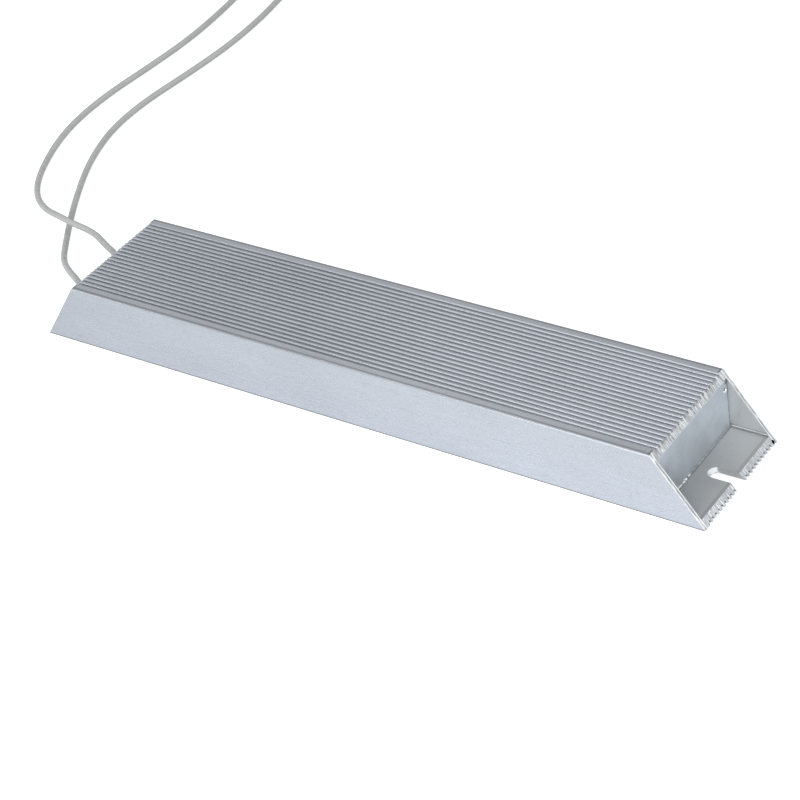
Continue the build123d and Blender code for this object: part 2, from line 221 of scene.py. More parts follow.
# Bounds of places on the housing: a measure of the place, from where, to where, and how softly it
# ends if not sharply
SHARP = 0.05 * MM
RIBBED = ("side", -MM, RIBBED_HALF_WIDTH)
BESIDE_RIBS = ("side", RIBBED_HALF_WIDTH + 0.1 * MM, HALF_WIDTH)
IN_CAVITY = ("side", -MM, CAVITY_HALF_WIDTH + 0.1 * MM)
FACING_UP = ("up", 0.3, 2.0, 0.1)
ON_ROOF = ("height", CAVITY_ROOF, ROOF_HEIGHT + MM)
ON_FLOOR = ("height", CAVITY_FLOOR - 0.1 * MM, CAVITY_FLOOR + 0.1 * MM)
SLOT_BOUNDS = (
    ("y", SLOT_OFFSET - SLOT_WIDTH / 2 - 0.1 * MM, SLOT_OFFSET + SLOT_WIDTH / 2 + 0.5 * MM),
    ("out", SLOT_INNER_END - 0.1 * MM, HALF_LENGTH),
    ("height", 0.05 * MM, CAVITY_FLOOR - 0.1 * MM),
)

# Where a painted shade darkens the extruded skin, and where it is plainly darker: the share of the shade
# that is left there, then the bounds of the place
SKIN_PAINTED_SHADE = (
    # A painted shade darkens the upper grooves.
    (0.53, RIBBED, ("height", ROOF_HEIGHT - GROOVE_DEPTH, ROOF_HEIGHT - MM, 0.6 * MM)),
    # The two plain strips beside the ribs are a little darker.
    (0.94, BESIDE_RIBS, FACING_UP),
    # A dark line painted along each outer edge of the top stands in for the rounded edge's dark reflection.
    (
        0.6,
        ("side", HALF_WIDTH - 1.4 * MM, HALF_WIDTH - 0.8 * MM, 0.4 * MM),
        ("height", ROOF_HEIGHT - MM, ROOF_HEIGHT + MM),
        FACING_UP,
    ),
    # A painted shade darkens the corner between the recess floor and the walls.
    (
        0.71,
        ("side", CAVITY_HALF_WIDTH - 0.9 * MM, CAVITY_HALF_WIDTH + 0.1 * MM, 0.3 * MM),
        ("height", CAVITY_FLOOR - 0.1 * MM, CAVITY_FLOOR + 0.9 * MM, 0.3 * MM),
    ),
    # A painted shadow darkens the rounded foot edges along both sides, where they meet the bench.
    (0.4, ("side", HALF_WIDTH - 1.2 * MM, HALF_WIDTH + MM), ("height", -MM, 0.45 * MM, 0.15 * MM)),
    # A painted shade darkens the flat strips just before the saw cut, and the recess floor is darker there
    # too.
    (
        0.5,
        ("reach", SAW_PLANE - 0.4 * MM, SAW_PLANE + MM, 0.3 * MM),
        ("side", RIBBED_HALF_WIDTH + 0.1 * MM, HALF_WIDTH - 0.7 * MM),
        ON_ROOF,
        FACING_UP,
    ),
    (0.8, ("reach", SAW_PLANE - MM, SAW_PLANE + MM, 0.5 * MM), ON_FLOOR, FACING_UP),
    # A painted shadow darkens the floor along the foot of the cement bead.
    (0.75, ("out", PLATE_FACE + 0.3 * MM, PLATE_FACE + 0.9 * MM, 0.25 * MM), ON_FLOOR),
    # The pit in the far foot is painted black inside, as shade.
    (
        0.02,
        ("y", PIT_OFFSET - PIT_REACH, PIT_OFFSET + PIT_REACH),
        ("height", PIT_HEIGHT - PIT_REACH, PIT_HEIGHT + PIT_REACH),
        ("x", 0.95 * HALF_LENGTH, HALF_LENGTH),
    ),
)

# The same for the end plates: a painted shadow darkens the far upper corner under the roof, and the punch
# mark is painted black inside, as shade.
PLATE_PAINTED_SHADE = (
    (
        0.4,
        ("y", CAVITY_HALF_WIDTH - 1.6 * MM, CAVITY_HALF_WIDTH, 0.5 * MM),
        ("height", CAVITY_ROOF - 1.8 * MM, CAVITY_ROOF, 0.6 * MM),
    ),
    (
        0.03,
        ("y", STAKE_OFFSET - 0.75 * MM, STAKE_OFFSET + 0.65 * MM, 0.1 * MM),
        ("height", STAKE_HEIGHT - 0.55 * MM, STAKE_HEIGHT + 0.75 * MM, 0.1 * MM),
    ),
)


class ResistorView(bpy.types.PropertyGroup):
    """Where the camera stands and what it looks at"""

    azimuth: bpy.props.FloatProperty(
        name="Azimuth",
        description="Turn of the camera about the vertical, from the near side",
        default=math.radians(40.21),
        subtype="ANGLE",
    )
    elevation: bpy.props.FloatProperty(
        name="Elevation",
        description="Height of the camera above the bench, as an angle",
        default=math.radians(36.52),
        subtype="ANGLE",
    )
    roll: bpy.props.FloatProperty(
        name="Roll",
        description="Tilt of the camera about its own line of sight",
        default=math.radians(-10.35),
        subtype="ANGLE",
    )
    distance: bpy.props.FloatProperty(
        name="Distance",
        description="From the point looked at to the camera",
        default=0.9853,
        unit="LENGTH",
    )
    target: bpy.props.FloatVectorProperty(
        name="Target",
        description="The point the camera looks at",
        default=(0.02398, -0.02341, 0.015),
        subtype="TRANSLATION",
        unit="LENGTH",
    )
    lens: bpy.props.FloatProperty(
        name="Lens",
        description="Focal length on a 36 mm sensor",
        default=108.31,
        subtype="DISTANCE_CAMERA",
    )


class ResistorSizes(bpy.types.PropertyGroup):
    """Sizes of the small fittings"""

    ring_radius: bpy.props.FloatProperty(
        name="Ring radius", description="Outside of a terminal's ring", default=5.0 * MM, unit="LENGTH"
    )
    ring_hole_radius: bpy.props.FloatProperty(
        name="Ring hole", description="Radius of the stud hole", default=2.65 * MM, unit="LENGTH"
    )
    ring_thickness: bpy.props.FloatProperty(
        name="Ring thickness",
        description="Sheet that a terminal is stamped from",
        default=1.0 * MM,
        unit="LENGTH",
    )
    ring_distance: bpy.props.FloatProperty(
        name="Ring distance",
        description="From the lead's end to the stud hole",
        default=13.0 * MM,
        unit="LENGTH",
    )
    tongue_width: bpy.props.FloatProperty(
        name="Tongue width", description="Across the neck of a terminal", default=5.0 * MM, unit="LENGTH"
    )
    barrel_radius: bpy.props.FloatProperty(
        name="Barrel radius",
        description="Outside of a terminal's crimped barrel",
        default=1.8 * MM,
        unit="LENGTH",
    )
    barrel_length: bpy.props.FloatProperty(
        name="Barrel length",
        description="Length of a terminal's crimped barrel",
        default=6.0 * MM,
        unit="LENGTH",
    )
    sleeve_radius: bpy.props.FloatProperty(
        name="Sleeve radius",
        description="Outside of a terminal's sleeve",
        default=2.5 * MM,
        unit="LENGTH",
    )
    sleeve_bore: bpy.props.FloatProperty(
        name="Sleeve bore",
        description="Inside radius of a terminal's sleeve",
        default=1.85 * MM,
        unit="LENGTH",
    )
    sleeve_length: bpy.props.FloatProperty(
        name="Sleeve length", description="Length of a terminal's sleeve", default=9.0 * MM, unit="LENGTH"
    )
    sleeve_over_lead: bpy.props.FloatProperty(
        name="Sleeve over lead",
        description="How far a sleeve laps back over its lead",
        default=2.5 * MM,
        unit="LENGTH",
    )
    flange_thickness: bpy.props.FloatProperty(
        name="Bushing flange",
        description="How far a bushing's flange stands out",
        default=1.6 * MM,
        unit="LENGTH",
    )
    bushing_body_radius: bpy.props.FloatProperty(
        name="Bushing body",
        description="Radius of a bushing in its plate",
        default=2.7 * MM,
        unit="LENGTH",
    )
    bead_radius: bpy.props.FloatProperty(
        name="Cement bead",
        description="Radius of the bead at an end plate's foot",
        default=0.4 * MM,
        unit="LENGTH",
    )
    rim_radius: bpy.props.FloatProperty(
        name="Punch rim",
        description="Radius of the metal raised round a punch mark",
        default=0.16 * MM,
        unit="LENGTH",
    )


class ResistorFinish(bpy.types.PropertyGroup):
    """Colours of the materials, as sRGB hex values"""

    aluminium: bpy.props.StringProperty(
        name="Aluminium", description="Mill finish of the extruded housing", default="C6CBD3"
    )
    sawn: bpy.props.StringProperty(
        name="Sawn aluminium", description="Bare metal of the sawn ends", default="C7CBCF"
    )
    # This colour is also painted as highlights along the sawn edges and at the slots' inner ends.
    burr_and_highlight: bpy.props.StringProperty(
        name="Burr", description="Bright metal along the sawn edges", default="FAFBFC"
    )
    cavity: bpy.props.StringProperty(
        name="Cavity", description="Duller metal inside the housing's ends", default="C1C3C3"
    )
    plate: bpy.props.StringProperty(
        name="End plate", description="Rolled sheet of the two end plates", default="C8D0D8"
    )
    insulation: bpy.props.StringProperty(
        name="Insulation", description="Silicone rubber of the leads", default="B9BBBA"
    )
    rubber: bpy.props.StringProperty(
        name="Bushing", description="Silicone rubber of the bushings", default="DADAD6"
    )
    tin: bpy.props.StringProperty(
        name="Tin", description="Tinned copper of the terminals and conductors", default="D4D5D2"
    )
    sleeve: bpy.props.StringProperty(
        name="Sleeve", description="Plastic of the terminals' sleeves", default="E0E0DA"
    )
    steatite: bpy.props.StringProperty(
        name="Steatite", description="Ceramic of the former and its saddles", default="E6DFD0"
    )
    sand: bpy.props.StringProperty(
        name="Sand", description="Quartz sand round the winding", default="CFC3AC"
    )
    cement: bpy.props.StringProperty(
        name="Cement", description="Cement of the plugs", default="C9C6BE"
    )
    # Darker than the cement's own grey, as a painted shadow along the plates' feet.
    bead: bpy.props.StringProperty(
        name="Bead", description="Cement squeezed out under the end plates", default="94989A"
    )
    mica: bpy.props.StringProperty(
        name="Mica", description="Sheets over and under the winding", default="C2AE86"
    )
    nickel: bpy.props.StringProperty(
        name="Nickel", description="Clips and return wire", default="C4C1B8"
    )
    ribbon: bpy.props.StringProperty(
        name="Ribbon", description="Oxidised resistance ribbon", default="6E675E"
    )
    braid: bpy.props.StringProperty(
        name="Braid", description="Glass sleeve of the return wire", default="E8E6DE"
    )


class ResistorStage(bpy.types.PropertyGroup):
    """The floor and the light"""

    floor: bpy.props.StringProperty(
        name="Floor", description="Colour of the floor, sRGB hex", default="B9B9B9"
    )
    mirrored_tint: bpy.props.StringProperty(
        name="Mirrored tint",
        description="Colour of the floor in shiny surfaces, sRGB hex",
        default="EAF0F6",
    )
    floor_glow: bpy.props.FloatProperty(
        name="Floor whiteness",
        description="What the camera sees added to the floor",
        default=0.85,
        min=0.0,
    )
    floor_mirrored: bpy.props.FloatProperty(
        name="Mirrored whiteness",
        description="What shiny surfaces see added to the floor",
        default=0.47,
        min=0.0,
    )
    key_power: bpy.props.FloatProperty(
        name="Key power", description="Lamp at the front left", default=0.9, min=0.0, unit="POWER"
    )
    front_power: bpy.props.FloatProperty(
        name="Front power", description="Low lamp in front", default=1.9, min=0.0, unit="POWER"
    )
    left_power: bpy.props.FloatProperty(
        name="Left power",
        description="Low lamp at the front left, beside the leads",
        default=1.6,
        min=0.0,
        unit="POWER",
    )
    right_power: bpy.props.FloatProperty(
        name="Right power", description="Low lamp near the open end", default=6.0, min=0.0, unit="POWER"
    )
    end_power: bpy.props.FloatProperty(
        name="End power",
        description="Lamp past the open end, which lights the sawn faces",
        default=0.8,
        min=0.0,
        unit="POWER",
    )
    back_power: bpy.props.FloatProperty(
        name="Back power",
        description="High lamp at the back left, seen in the ribs",
        default=0.62,
        min=0.0,
        unit="POWER",
    )
    sky: bpy.props.FloatProperty(
        name="Sky strength", description="Strength of the even light all round", default=0.59, min=0.0
    )


def linear(hex_colour):
    """Turn an sRGB hex colour into the linear colour that a shader takes."""
    channels = [int(hex_colour[i : i + 2], 16) / 255 for i in (0, 2, 4)]
    curved = [c / 12.92 if c <= 0.04045 else ((c + 0.055) / 1.055) ** 2.4 for c in channels]
    return (*curved, 1.0)


def add_node(material, kind, links=None, values=None, **settings):
    """Add a node to a material's tree, with its settings, its input values and its links."""
    node = material.node_tree.nodes.new(kind)
    for setting, value in settings.items():
        setattr(node, setting, value)
    for socket, value in (values or {}).items():
        node.inputs[socket].default_value = value
    for socket, source in (links or {}).items():
        material.node_tree.links.new(source, node.inputs[socket])
    return node


def new_material(name, **constants):
    """An empty material with its output and its shader, whose plain inputs are set."""
    material = bpy.data.materials.new(name)
    material.use_nodes = True
    material.node_tree.nodes.clear()
    shader = add_node(material, "ShaderNodeBsdfPrincipled")
    add_node(material, "ShaderNodeOutputMaterial", links={"Surface": shader.outputs["BSDF"]})
    for socket, value in constants.items():
        shader.inputs[socket.replace("_", " ").title()].default_value = value
    return material, shader


def feed(material, shader, height=None, depth=0.0, **sources):
    """Link sources to the shader's inputs, as base_color for Base Color.

    A height, if given, raises the surface in relief, this deep in millimetres.
    """
    if height is not None:
        relief = add_node(
            material,
            "ShaderNodeBump",
            links={"Height": height},
            values={"Strength": 1.0, "Distance": depth * MM},
        )
        sources["normal"] = relief.outputs["Normal"]
    for socket, source in sources.items():
        material.node_tree.links.new(source, shader.inputs[socket.replace("_", " ").title()])
    return material


def both(marks, *names):
    """The names of both pieces of each pair, with its mark in place of the star."""
    return [name.replace("*", mark) for name in names for mark in marks]


def dress(piece, material):
    """Give a piece one material over all its faces."""
    piece.data.materials.clear()
    piece.data.materials.append(material)


def placed(shape, name, smooth=True):
    """Merge a shape's doubled corners, turn its faces outward and put it in the scene."""
    bmesh.ops.remove_doubles(shape, verts=shape.verts[:], dist=MERGE_DISTANCE)
    bmesh.ops.recalc_face_normals(shape, faces=shape.faces[:])
    for face in shape.faces:
        face.smooth = smooth
    for edge in shape.edges:
        edge.smooth = edge.calc_face_angle(0.0) < CREASE_ANGLE
    mesh = bpy.data.meshes.new(name)
    shape.to_mesh(mesh)
    shape.free()
    piece = bpy.data.objects.new(name, mesh)
    bpy.context.scene.collection.objects.link(piece)
    return piece


def finished(shape, place, name, slot, *nodes):
    """Move a shape to its place as a piece of the part, which stands for these nodes if any."""
    bmesh.ops.transform(shape, matrix=place, verts=shape.verts[:])
    piece = placed(shape, name)
    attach(piece, "root")
    if nodes:
        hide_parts(*nodes)
    return piece


def spun(profile, axis, steps, closed=True):
    """A shape turned about an axis from a profile of points in the XZ plane."""
    shape = bmesh.new()
    corners = [shape.verts.new((x, 0, z)) for x, z in profile]
    following = corners[1:] + corners[:1] if closed else corners[1:]
    edges = [shape.edges.new(pair) for pair in zip(corners, following)]
    bmesh.ops.spin(
        shape,
        geom=corners + edges,
        cent=(0, 0, 0),
        axis=axis,
        angle=math.tau,
        steps=steps,
        use_merge=True,
    )
    return shape


def edges_round(shape, *points):
    """The edges that run round a turned shape through these points of its profile."""
    return [
        edge
        for edge in shape.edges
        if any(
            all(abs(v.co.x - x) < TOUCHING and abs(v.co.yz.length - z) < TOUCHING for v in edge.verts)
            for x, z in points
        )
    ]


def rounded(shape, edges, size, steps=3):
    """Round these edges of a shape."""
    bmesh.ops.bevel(
        shape,
        geom=edges,
        offset=size,
        offset_type="OFFSET",
        segments=steps,
        profile=0.5,
        affect="EDGES",
        material=-1,
    )


def lead_end_frame(lead):
    """Place and direction of a lead's end: X along it, Z up, with its end at the origin."""
    before, end = (Vector(place) for place in LEAD_ROUTES[lead][-2:])
    along = (end - before).normalized()
    up = Vector((0, 0, 1))
    turn = Matrix((along, up.cross(along), up)).transposed()
    return Matrix.Translation(end) @ turn.to_4x4()


class RESISTOR_OT_camera(bpy.types.Operator):
    """Place the camera at the photograph's viewing angle"""

    bl_idname = "resistor.camera"
    bl_label = "Place camera"

    def execute(self, context):
        view = context.scene.resistor_view
        data = bpy.data.cameras.new("resistor_camera")
        data.sensor_width = 36.0
        data.lens = view.lens
        data.clip_start = 0.01
        data.clip_end = 20.0
        camera = bpy.data.objects.new("resistor_camera", data)
        turn = (
            Matrix.Rotation(view.azimuth, 4, "Z")
            @ Matrix.Rotation(math.pi / 2 - view.elevation, 4, "X")
            @ Matrix.Rotation(view.roll, 4, "Z")
        )
        back = turn.to_3x3() @ Vector((0, 0, 1))
        place = Vector(view.target) + view.distance * back
        camera.matrix_world = Matrix.Translation(place) @ turn
        context.scene.collection.objects.link(camera)
        context.scene.camera = camera
        return {"FINISHED"}


def stamp_ring(sizes):
    """A ring with its neck, stamped from sheet, and the barrel that is crimped on the lead."""
    shape = bmesh.new()
    half_width = sizes.tongue_width / 2
    centre = Matrix.Translation((sizes.ring_distance, 0, -sizes.ring_thickness / 2))
    circle = bmesh.ops.create_circle(shape, segments=RING_STEPS, radius=sizes.ring_radius, matrix=centre)
    bmesh.ops.create_circle(shape, segments=RING_STEPS, radius=sizes.ring_hole_radius, matrix=centre)
    bmesh.ops.bridge_loops(shape, edges=shape.edges[:])
    facing_lead = [v for v in circle["verts"] if v.co.x < sizes.ring_distance and abs(v.co.y) <= half_width]
    neck_side = [edge for edge in shape.edges if all(v in facing_lead for v in edge.verts)]
    neck_start = sizes.sleeve_length - sizes.sleeve_over_lead
    for reach, width in ((neck_start, 1.0), (sizes.barrel_length, sizes.barrel_radius / half_width)):
        grown = bmesh.ops.extrude_edge_only(shape, edges=neck_side)["geom"]
        for corner in (part for part in grown if isinstance(part, bmesh.types.BMVert)):
            corner.co.x = reach - NECK_LAP
            corner.co.y *= width
        neck_side = [
            part
            for part in grown
            if isinstance(part, bmesh.types.BMEdge) and all(v in grown for v in part.verts)
        ]
    sheet = bmesh.ops.extrude_face_region(shape, geom=shape.faces[:])["geom"]
    lifted = [part for part in sheet if isinstance(part, bmesh.types.BMVert)]
    bmesh.ops.translate(shape, verts=lifted, vec=(0, 0, sizes.ring_thickness))
    bmesh.ops.recalc_face_normals(shape, faces=shape.faces[:])
    rims = [edge for edge in shape.edges if edge.calc_face_angle(0.0) > SHARP_ANGLE]
    rounded(shape, rims, SHEET_EDGE, steps=2)
    lying = Matrix.Translation((sizes.barrel_length / 2, 0, 0)) @ Matrix.Rotation(math.pi / 2, 4, "Y")
    bmesh.ops.create_cone(
        shape,
        cap_ends=True,
        segments=BARREL_STEPS,
        radius1=sizes.barrel_radius,
        radius2=sizes.barrel_radius,
        depth=sizes.barrel_length,
        matrix=lying,
    )
    return shape


def turn_sleeve(sizes):
    """A sleeve with rounded ends and the two rings that the crimping tool leaves."""
    start = -sizes.sleeve_over_lead
    end = start + sizes.sleeve_length
    dent = sizes.sleeve_radius - CRIMP_DEPTH
    profile = [(start, sizes.sleeve_bore), (start, sizes.sleeve_radius)]
    for middle in CRIMP_PLACES:
        profile += [
            (middle - CRIMP_RIM, sizes.sleeve_radius),
            (middle - CRIMP_BOTTOM, dent),
            (middle + CRIMP_BOTTOM, dent),
            (middle + CRIMP_RIM, sizes.sleeve_radius),
        ]
    profile += [(end, sizes.sleeve_radius), (end, sizes.sleeve_bore)]
    shape = spun(profile, LENGTHWISE, TURNED_STEPS)
    # The rims of both ends, and the long edges of the bore, whose corners lie at the ends too
    rims = [
        edge
        for edge in shape.edges
        if all(min(v.co.x - start, end - v.co.x) < TOUCHING for v in edge.verts)
        and abs(edge.verts[0].co.yz.length - edge.verts[1].co.yz.length) < TOUCHING
    ]
    rounded(shape, rims, SLEEVE_EDGE)
    return shape


class RESISTOR_OT_terminals(bpy.types.Operator):
    """Make the ring terminals and their sleeves on the leads' ends"""

    bl_idname = "resistor.terminals"
    bl_label = "Make terminals"

    def execute(self, context):
        sizes = context.scene.resistor_sizes
        for lead in LEAD_ROUTES:
            place = lead_end_frame(lead)
            for shape, part, slot in (
                (stamp_ring(sizes), "ring_terminal", "ring_terminal"),
                (turn_sleeve(sizes), "terminal_sleeve", "terminal_sleeve"),
            ):
                finished(shape, place, f"{part}_{lead}_detail", slot, f"{part}_{lead}")
        return {"FINISHED"}


class RESISTOR_OT_leads(bpy.types.Operator):
    """Lay the two leads along their routes"""

    bl_idname = "resistor.leads"
    bl_label = "Lay leads"

    def execute(self, context):
        for lead, route in LEAD_ROUTES.items():
            data = bpy.data.curves.new(f"lead_{lead}_line", "CURVE")
            data.dimensions = "3D"
            data.bevel_depth = 1.0
            data.bevel_resolution = 6
            data.resolution_u = 16
            data.use_fill_caps = True
            spline = data.splines.new("NURBS")
            spline.points.add(len(route) - 1)
            for point, place in zip(spline.points, route):
                point.co = (*place, 1.0)
                point.radius = LEAD_DIAMETER / 2
            spline.order_u = 3
            spline.use_endpoint_u = True
            piece = bpy.data.objects.new(f"lead_{lead}_insulation", data)
            context.scene.collection.objects.link(piece)
            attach(piece, "root")
            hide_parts(f"lead_{lead}")
        return {"FINISHED"}


class RESISTOR_OT_bushings(bpy.types.Operator):
    """Make the bushings that the leads come out of"""

    bl_idname = "resistor.bushings"
    bl_label = "Make bushings"

    def execute(self, context):
        sizes = context.scene.resistor_sizes
        bore = LEAD_DIAMETER / 2 + BORE_PLAY
        flange_radius = (bushing_high.z - bushing_low.z) / 2
        profile = [
            (0, bore),
            (0, flange_radius),
            (sizes.flange_thickness, flange_radius),
            (sizes.flange_thickness, sizes.bushing_body_radius),
            (BUSHING_LENGTH, sizes.bushing_body_radius),
            (BUSHING_LENGTH, bore),
        ]
        for lead, side in SIDES.items():
            shape = spun(profile, LENGTHWISE, TURNED_STEPS)
            mouth = edges_round(shape, profile[0])
            rounded(shape, edges_round(shape, *profile[1:3]), FLANGE_EDGE)
            rounded(shape, mouth, MOUTH_EDGE)
            place = Matrix.Translation((EXIT_X, side * LEAD_OFFSET, EXIT_HEIGHT))
            finished(shape, place, f"lead_bushing_{lead}_detail", "bushing", f"lead_bushing_{lead}")
        return {"FINISHED"}


def squeeze_bead(side, radius):
    """The bead of cement squeezed out along an end plate's foot, uneven along its length."""
    shape = bmesh.new()
    length = 2 * (CAVITY_HALF_WIDTH - BEAD_END_GAP)
    bmesh.ops.create_cone(
        shape,
        cap_ends=True,
        segments=BEAD_CORNERS,
        radius1=radius,
        radius2=radius,
        depth=length,
        matrix=Matrix.Rotation(math.pi / 2, 4, "X"),
    )
    long_edges = [
        edge for edge in shape.edges if abs(edge.verts[0].co.y - edge.verts[1].co.y) > length / 2
    ]
    bmesh.ops.subdivide_edges(shape, edges=long_edges, cuts=BEAD_CUTS, use_grid_fill=True)
    # It swells and thins by about half along its length, and is a little flattened.
    for corner in shape.verts:
        along = corner.co.y / SWELL_SPACING
        swell = 0.95 + 0.55 * noise.noise(Vector((along, 0.3, 2.0 * side)))
        lump = 0.12 * noise.noise(corner.co / LUMP_SPACING)
        corner.co.x *= swell + lump
        corner.co.z *= 0.8 * swell + lump
    return shape


def raise_lip(rim):
    """The metal that a punch raises round its mark, mostly on one side of it."""
    circle = [
        (rim * math.cos(turn), STAKE_RADIUS + rim * math.sin(turn))
        for turn in (math.tau * step / LIP_CORNERS for step in range(LIP_CORNERS))
    ]
    shape = spun(circle, LENGTHWISE, LIP_STEPS)
    # A thin rim all round thickens to a lip on the side it leans to.
    for corner in shape.verts:
        spoke = Vector((0, corner.co.y, corner.co.z)).normalized()
        lip = max(0, spoke.dot(LIP_LEANING))
        middle = STAKE_RADIUS * spoke
        corner.co = middle + (0.3 + 2.2 * lip) * (corner.co - middle) + LIP_SHIFT * lip * spoke
    return shape


class RESISTOR_OT_seams(bpy.types.Operator):
    """Lay the cement beads along the end plates and raise the rims of the punch marks"""

    bl_idname = "resistor.seams"
    bl_label = "Finish end plates"

    def execute(self, context):
        sizes = context.scene.resistor_sizes
        for end, side in ENDS.items():
            # The bead sits in the corner, with most of it above the floor.
            radius = sizes.bead_radius
            corner = (side * (PLATE_FACE + 0.3 * radius), 0, CAVITY_FLOOR + 0.25 * radius)
            place = Matrix.Translation(corner)
            finished(squeeze_bead(side, radius), place, f"cement_bead_{end}", "cement")
            place = Matrix.Translation((side * PLATE_FACE, STAKE_OFFSET, STAKE_HEIGHT))
            finished(raise_lip(sizes.rim_radius), place, f"punch_rim_{end}", "end_plate")
        return {"FINISHED"}


def patches(material, size, start, end, stretch=(1, 1, 1), detail=3.0, low=0.3, high=0.7, over=None):
    """Soft patches of this size in millimetres, from a start to an end value, times a shade."""
    place = add_node(material, "ShaderNodeTexCoord")
    drawn_out = add_node(
        material, "ShaderNodeMapping", links={"Vector": place.outputs["Object"]}, values={"Scale": stretch}
    )
    pattern = add_node(
        material,
        "ShaderNodeTexNoise",
        links={"Vector": drawn_out.outputs["Vector"]},
        values={"Scale": 1 / (size * MM), "Detail": detail},
    )
    spread = add_node(
        material,
        "ShaderNodeMapRange",
        links={"Value": pattern.outputs["Fac"]},
        values={"From Min": low, "From Max": high, "To Min": start, "To Max": end},
    )
    if over is None:
        return spread.outputs["Result"]
    laid = add_node(
        material, "ShaderNodeMath", links={0: spread.outputs["Result"], 1: over}, operation="MULTIPLY"
    )
    return laid.outputs["Value"]


def zone(material, coordinate, start, end, soft=SHARP, over=None):
    """1 where a coordinate lies between two places, with edges this soft, times an earlier zone."""
    rise = add_node(
        material,
        "ShaderNodeMapRange",
        links={"Value": coordinate},
        values={"From Min": start - soft, "From Max": start},
    )
    fall = add_node(
        material,
        "ShaderNodeMapRange",
        links={"Value": coordinate},
        values={"From Min": end, "From Max": end + soft, "To Min": 1.0, "To Max": 0.0},
    )
    inside = rise.outputs["Result"]
    for other in (fall.outputs["Result"], over):
        if other is not None:
            inside = add_node(
                material, "ShaderNodeMath", links={0: inside, 1: other}, operation="MULTIPLY"
            ).outputs["Value"]
    return inside


def within(material, at, *bounds, over=None):
    """1 where a point is inside every one of these bounds, times an earlier zone."""
    for measure, *reach in bounds:
        over = zone(material, at[measure], *reach, over=over)
    return over


def dirt_and_shade(material, shade, where, level):
    """Bring a shade down to this share of itself in a zone."""
    share = add_node(
        material, "ShaderNodeMapRange", links={"Value": where}, values={"To Min": 1.0, "To Max": level}
    )
    dirty = add_node(
        material, "ShaderNodeMath", links={0: share.outputs["Result"], 1: shade}, operation="MULTIPLY"
    )
    return dirty.outputs["Value"]


def painted(material, colour, shade):
    """A colour under a shade."""
    tone = add_node(
        material,
        "ShaderNodeMix",
        links={"B": shade},
        values={"Factor": 1.0, "A": linear(colour)},
        data_type="RGBA",
        blend_type="MULTIPLY",
    )
    return tone.outputs["Result"]


def places(material):
    """The measures of a point's place on the part, and which way it faces.

    They are x and y, the distances out and to the side, the height, the reach across the saw cut,
    how far up it faces, and whether it is sawn.
    """
    coordinates = add_node(material, "ShaderNodeTexCoord")
    plain = add_node(material, "ShaderNodeSeparateXYZ", links={"Vector": coordinates.outputs["Object"]})
    folded = add_node(
        material, "ShaderNodeVectorMath", links={0: coordinates.outputs["Object"]}, operation="ABSOLUTE"
    )
    sizes = add_node(material, "ShaderNodeSeparateXYZ", links={"Vector": folded.outputs["Vector"]})
    direction = add_node(
        material, "ShaderNodeVectorMath", links={0: coordinates.outputs["Normal"]}, operation="ABSOLUTE"
    )
    rise = add_node(material, "ShaderNodeSeparateXYZ", links={"Vector": coordinates.outputs["Normal"]})
    facing = add_node(
        material,
        "ShaderNodeVectorMath",
        links={0: direction.outputs["Vector"]},
        values={1: SLOPE},
        operation="DOT_PRODUCT",
    )
    cut = add_node(
        material,
        "ShaderNodeMath",
        links={0: facing.outputs["Value"]},
        values={1: SAWN_COSINE},
        operation="GREATER_THAN",
    )
    reach = add_node(
        material,
        "ShaderNodeVectorMath",
        links={0: folded.outputs["Vector"]},
        values={1: SLOPE},
        operation="DOT_PRODUCT",
    )
    return {
        "x": plain.outputs["X"],
        "y": plain.outputs["Y"],
        "out": sizes.outputs["X"],
        "side": sizes.outputs["Y"],
        "height": sizes.outputs["Z"],
        "up": rise.outputs["Z"],
        "sawn": cut.outputs["Value"],
        "reach": reach.outputs["Value"],
    }


def skin_shade(material, at, slot):
    """Marks of the extruded skin: die lines, clouds and specks, with painted shade in the grooves and other
    shaded places.
    """
    # Die lines are a few hundredths of a millimetre apart; they are drawn coarser to show.
    shade = patches(material, 0.9, 0.97, 1.0, stretch=ALONG, detail=4.0)
    shade = patches(material, 28, 0.92, 1.0, stretch=(0.45, 1, 1), over=shade)
    shade = patches(material, 1.7, 1.0, 0.93, detail=1.0, low=0.66, high=0.74, over=shade)
    for level, *bounds in SKIN_PAINTED_SHADE:
        shade = dirt_and_shade(material, shade, within(material, at, *bounds), level)
    # A painted shade darkens the lower grooves except beside the slots, and paints their open ends black.
    off_slot = add_node(
        material, "ShaderNodeMath", links={1: slot}, values={0: 1.0}, operation="SUBTRACT"
    ).outputs["Value"]
    lower = within(material, at, RIBBED, ("height", 0.75 * MM, GROOVE_DEPTH, 0.3 * MM), over=off_slot)
    shade = dirt_and_shade(material, shade, lower, 0.5)
    mouths = within(material, at, ("reach", SAW_PLANE - 2.5 * MM, SAW_PLANE + MM, MM), over=lower)
    shade = dirt_and_shade(material, shade, mouths, 0.16)
    # A painted shade darkens the walls of the slots near their open end.
    walls = within(material, at, ("out", SLOT_INNER_END + 3 * MM, HALF_LENGTH, 1.5 * MM), over=slot)
    return dirt_and_shade(material, shade, walls, 0.8)


def slot_end_highlight(material, at, slot):
    """The half-round inner end of a slot, painted bright as a highlight."""
    round_end = ("out", SLOT_INNER_END - 0.1 * MM, SLOT_INNER_END + 1.9 * MM, 0.6 * MM)
    return within(material, at, round_end, over=slot)


def inside_zone(material, at, slot):
    """The inside of the housing's ends, and the walls of the slots."""
    opening = ("height", CAVITY_FLOOR - 0.1 * MM, CAVITY_ROOF + 0.1 * MM)
    cavity = within(material, at, IN_CAVITY, opening)
    either = add_node(material, "ShaderNodeMath", links={0: cavity, 1: slot}, operation="MAXIMUM")
    return either.outputs["Value"]


